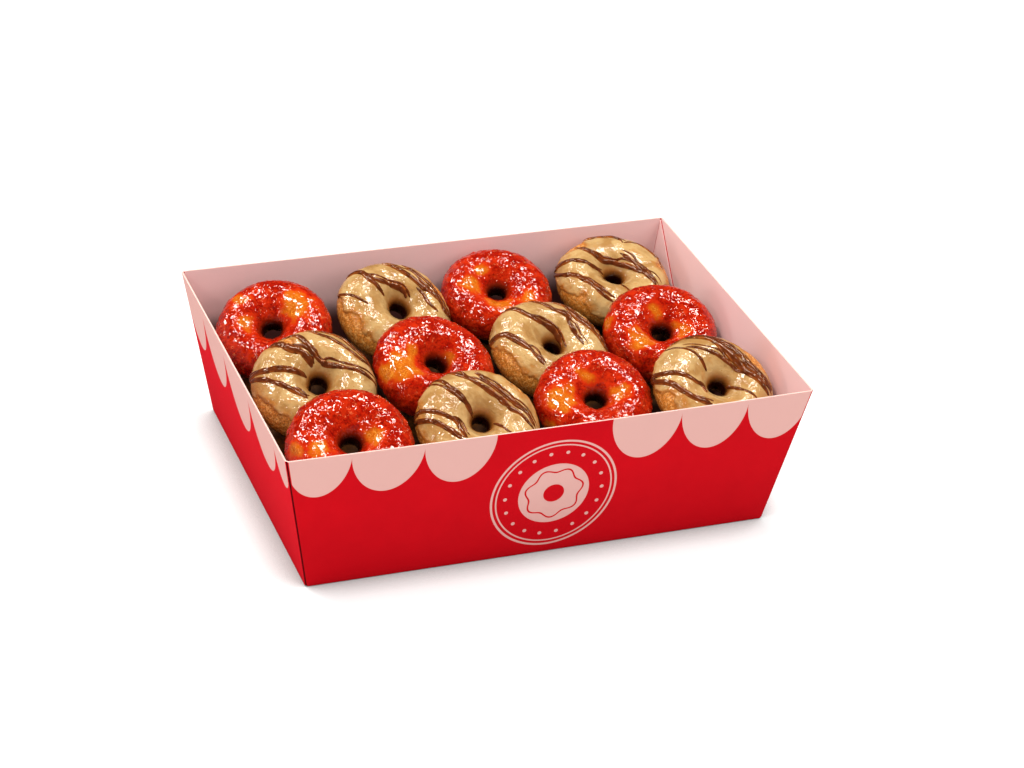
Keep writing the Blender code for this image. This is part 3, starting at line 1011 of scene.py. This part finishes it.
def chocolate_material():
    """Milk chocolate, dark in the middle of a line and clear brown along its flanks."""
    looks = bpy.context.scene.doughnut_looks
    sheet = Sheet("milk_chocolate", IOR=1.40, Specular_Tint=(1.0, 0.80, 0.62))
    flank = sheet.layer("flank")
    shade = sheet.grain(3 * MM, 2.0)
    ripple = sheet.grain(1.6 * MM, 2.0)
    brown = tuple(looks.chocolate)
    core = sheet.mix(shade.ramp(0.3, 0.7), dim(brown, 0.7), dim(brown, 1.25))
    color = sheet.mix(flank.ramp(0.45, 1.0) * shade.ramp(0.3, 0.6), core, (0.34, 0.085, 0.012))
    sheet.relief(ripple, 0.4 * MM, 0.3)
    return sheet.paint(Base_Color=color, Roughness=ripple * 0.06 + 0.04)


def dough_material():
    """Fried dough with a mottled crust, painted dark as deep shade."""
    looks = bpy.context.scene.doughnut_looks
    sheet = Sheet("fried_dough", Specular_IOR_Level=0.1)
    cloud = sheet.grain(5 * MM, 3.0, 0.6)
    crumb = sheet.grain(0.9 * MM, 3.0, 0.65)
    z = sheet.axes()[2]
    # Painted shade: the crust's colour is dimmed to between 30 and 70 percent, and turns almost
    # black low down, about half as dark on the mounds' tops.
    color = sheet.mix(cloud.ramp(0.3, 0.7), dim(looks.crust, 0.3), dim(looks.crust, 0.7))
    color = sheet.mix(z.ramp(31.0, 38.0, 0.98, 0.55), color, (0.008, 0.0015, 0.0008))
    sheet.relief(cloud + crumb * 0.4, 0.8 * MM, 0.5)
    return sheet.paint(Base_Color=color, Roughness=crumb * 0.2 + 0.5)


# ---------------------------------------------------------------- studio
# Name, azimuth and elevation in degrees, distance, width and height in metres, watts, and
# whether it shows in glossy surfaces. The gleams show there only.
LAMPS = (
    ("fill", -25, 42, 2.0, 1.4, 1.0, 7, False),
    ("left", -95, 9, 1.8, 0.8, 0.5, 6, False),
    ("right", 48, 30, 1.9, 0.8, 0.6, 5.5, False),
    ("key", -110, 66, 1.5, 0.22, 0.18, 9, True),
    ("top", 150, 72, 1.5, 0.26, 0.18, 7, True),
    ("side", 70, 55, 1.5, 0.16, 0.26, 6, True),
    ("low", -62, 38, 1.5, 0.14, 0.14, 2.5, True),
    ("rear", -165, 48, 1.5, 0.20, 0.12, 3, True),
    ("gleam_left", -132, 48, 1.5, 0.32, 0.20, 9, True),
    ("gleam_right", 112, 64, 1.5, 0.22, 0.26, 8, True),
)


def bearing(azimuth, elevation):
    """Unit vector from the middle of the stage: azimuth 0 is the front, 90 degrees the right."""
    level = math.cos(elevation)
    return Vector((math.sin(azimuth) * level, -math.cos(azimuth) * level, math.sin(elevation)))


def lay_floor():
    """A pale floor that glows a little, with a painted contact shadow: its colour and its glow
    darken where the carton stands close. Its colour leans to cyan against the red light that the
    carton throws on it.
    """
    sheet = Sheet("pale_floor", Specular_IOR_Level=0.1, Emission_Strength=0.57)
    close = sheet.node("AmbientOcclusion", {"samples": 8}, {"Distance": 0.03}, "AO")
    # Painted contact shadow: the glow and the colour drop where the carton hems the floor in
    # within 3 cm.
    glow = sheet.mix(close.ramp(0.3, 0.8), (0.0, 0.0, 0.0), (1.0, 0.88, 0.88))
    color = sheet.mix(close.ramp(0.3, 0.95), (0.40, 0.455, 0.46), (0.50, 0.62, 0.62))
    paint = sheet.paint(Base_Color=color, Roughness=0.6, Emission_Color=glow)
    side, level = 6.0, -0.05 * MM
    points = np.array([
        (x, y, level) for x, y in ((-side, -side), (side, -side), (side, side), (-side, side))
    ])
    floor = make_piece("floor", points, np.array([[0, 1, 2, 3]]))
    floor.data.materials.append(paint)
    floor.visible_glossy = False


def hang_lamps():
    """Area lamps that face a point just above the base's middle."""
    middle, warm, white = Vector((0, 0, 0.04)), (1.0, 0.95, 0.88), (1.0, 1.0, 1.0)
    for name, azimuth, elevation, away, width, height, power, shiny in LAMPS:
        data = bpy.data.lights.new(name, "AREA")
        data.shape, data.size, data.size_y = "RECTANGLE", width, height
        data.energy = power
        data.color = warm if shiny else white
        lamp = put_in_scene(name, data)
        out = bearing(math.radians(azimuth), math.radians(elevation))
        lamp.location = middle + out * away
        lamp.rotation_euler = out.to_track_quat("Z", "Y").to_euler()
        lamp.visible_glossy = shiny
        lamp.visible_diffuse = not name.startswith("gleam")


def fill_sky():
    """White light from all round, faint where a glossy surface mirrors it."""
    world = bpy.data.worlds.new("studio")
    world.use_nodes = True
    nodes, links = world.node_tree.nodes, world.node_tree.links
    ray = nodes.new("ShaderNodeLightPath")
    glow = nodes.new("ShaderNodeMapRange")
    glow.inputs["To Min"].default_value = 0.60
    glow.inputs["To Max"].default_value = 0.04
    links.new(ray.outputs["Is Glossy Ray"], glow.inputs["Value"])
    links.new(glow.outputs["Result"], nodes["Background"].inputs["Strength"])
    nodes["Background"].inputs["Color"].default_value = (1, 1, 1, 1)
    bpy.context.scene.world = world


def place_camera():
    """The camera, at its distance from the point it faces and rolled about its own axis."""
    looks = bpy.context.scene.studio_looks
    out = bearing(looks.azimuth, looks.elevation)
    right = Vector((math.cos(looks.azimuth), math.sin(looks.azimuth), 0.0))
    tilt = Matrix.Rotation(looks.roll, 3, out)
    turn = Matrix((tilt @ right, tilt @ out.cross(right), out)).transposed()
    data = bpy.data.cameras.new("camera")
    data.sensor_width, data.lens = 36.0, looks.lens
    data.clip_start, data.clip_end = 0.05, 50.0
    camera = put_in_scene("camera", data)
    camera.location = Vector(looks.aim) + out * looks.distance
    camera.rotation_euler = turn.to_euler()
    bpy.context.scene.camera = camera


# ---------------------------------------------------------------- operators
class DOUGHNUTS_OT_carton(bpy.types.Operator):
    """Fold the printed carton tray and glue its corner flaps"""

    bl_idname = "doughnuts.carton"
    bl_label = "Carton tray"

    def execute(self, context):
        paint = carton_material()
        settle(make_piece("carton_tray", *carton_shell()), paint, "printed_board", "tray")
        for name, sign_x, sign_y in (
            ("front_left", -1, -1), ("front_right", 1, -1), ("back_left", -1, 1),
            ("back_right", 1, 1),
        ):
            flap = make_piece("corner_flap_" + name, *corner_flap(sign_x, sign_y))
            settle(flap, paint, "printed_board")
        return {"FINISHED"}


class DOUGHNUTS_OT_jelly(bpy.types.Operator):
    """Make the doughnuts that are glazed with red jelly"""

    bl_idname = "doughnuts.jelly"
    bl_label = "Jelly doughnuts"

    def execute(self, context):
        paint = jelly_material()
        for number, name in enumerate(sorted(THIN_GLAZE)):
            ring_piece(read_ring(name, number), jelly_surface, paint, "jelly_glaze")
        return {"FINISHED"}


class DOUGHNUTS_OT_caramel(bpy.types.Operator):
    """Make the doughnuts with caramel icing, and their lines of chocolate"""

    bl_idname = "doughnuts.caramel"
    bl_label = "Caramel doughnuts"

    def execute(self, context):
        paint = caramel_material()
        parts, seed = [], 100
        for number, name in enumerate(sorted(CHOCOLATE)):
            ring = read_ring(name, number + 6)
            ring_piece(ring, caramel_surface, paint, "caramel_icing")
            for width, *stops in CHOCOLATE[name]:
                seed += 1
                parts.append(chocolate_line(ring, width, stops, seed))
                if width > 1.5:
                    parts.append(chocolate_line(ring, 0.5 * width, stops, seed + 50, 2.3))
        starts = np.cumsum([0] + [len(part[0]) for part in parts])
        points, quads, caps, flank = zip(*parts)
        lines = make_piece(
            "chocolate_lines", np.concatenate(points),
            np.concatenate([faces + start for faces, start in zip(quads, starts)]),
            np.concatenate([faces + start for faces, start in zip(caps, starts)]),
            {"flank": np.concatenate(flank)},
        )
        settle(lines, chocolate_material(), "caramel_icing")
        return {"FINISHED"}


class DOUGHNUTS_OT_layer_below(bpy.types.Operator):
    """Make the layer that the doughnuts lie on, which shows only between them"""

    bl_idname = "doughnuts.layer_below"
    bl_label = "Layer below"

    def execute(self, context):
        piece = make_piece("dough_below", *mound_surface())
        settle(piece, dough_material(), "fried_dough", "layer_below")
        return {"FINISHED"}


class DOUGHNUTS_OT_studio(bpy.types.Operator):
    """Set up the pale floor, the soft lights and the camera"""

    bl_idname = "doughnuts.studio"
    bl_label = "Studio"

    def execute(self, context):
        context.scene.view_settings.view_transform = "Standard"
        lay_floor()
        hang_lamps()
        fill_sky()
        place_camera()
        return {"FINISHED"}


class DOUGHNUTS_PT_panel(bpy.types.Panel):
    """The steps and their settings"""

    bl_idname = "DOUGHNUTS_PT_panel"
    bl_label = "Box of ring doughnuts"
    bl_space_type = "VIEW_3D"
    bl_region_type = "UI"
    bl_category = "Doughnuts"

    def draw(self, context):
        for step in STEPS:
            self.layout.operator(step.bl_idname)
        for settings in SETTINGS:
            group = getattr(context.scene, settings)
            for key in group.__annotations__:
                self.layout.prop(group, key)


SETTINGS = {
    "carton_looks": CartonSettings,
    "doughnut_looks": DoughnutSettings,
    "studio_looks": StudioSettings,
}
STEPS = (
    DOUGHNUTS_OT_studio,
    DOUGHNUTS_OT_carton,
    DOUGHNUTS_OT_layer_below,
    DOUGHNUTS_OT_jelly,
    DOUGHNUTS_OT_caramel,
)


def register():
    """Add the settings, the steps and the panel."""
    for name, group in SETTINGS.items():
        bpy.utils.register_class(group)
        setattr(bpy.types.Scene, name, bpy.props.PointerProperty(type=group))
    for item in (*STEPS, DOUGHNUTS_PT_panel):
        bpy.utils.register_class(item)


def unregister():
    """Take them away again."""
    for item in (DOUGHNUTS_PT_panel, *STEPS):
        bpy.utils.unregister_class(item)
    for name, group in SETTINGS.items():
        delattr(bpy.types.Scene, name)
        bpy.utils.unregister_class(group)


def main():
    """Register the settings and the steps, and run every step."""
    register()
    for step in STEPS:
        group, name = step.bl_idname.split(".")
        getattr(getattr(bpy.ops, group), name)()


if __name__ == "__main__":
    main()
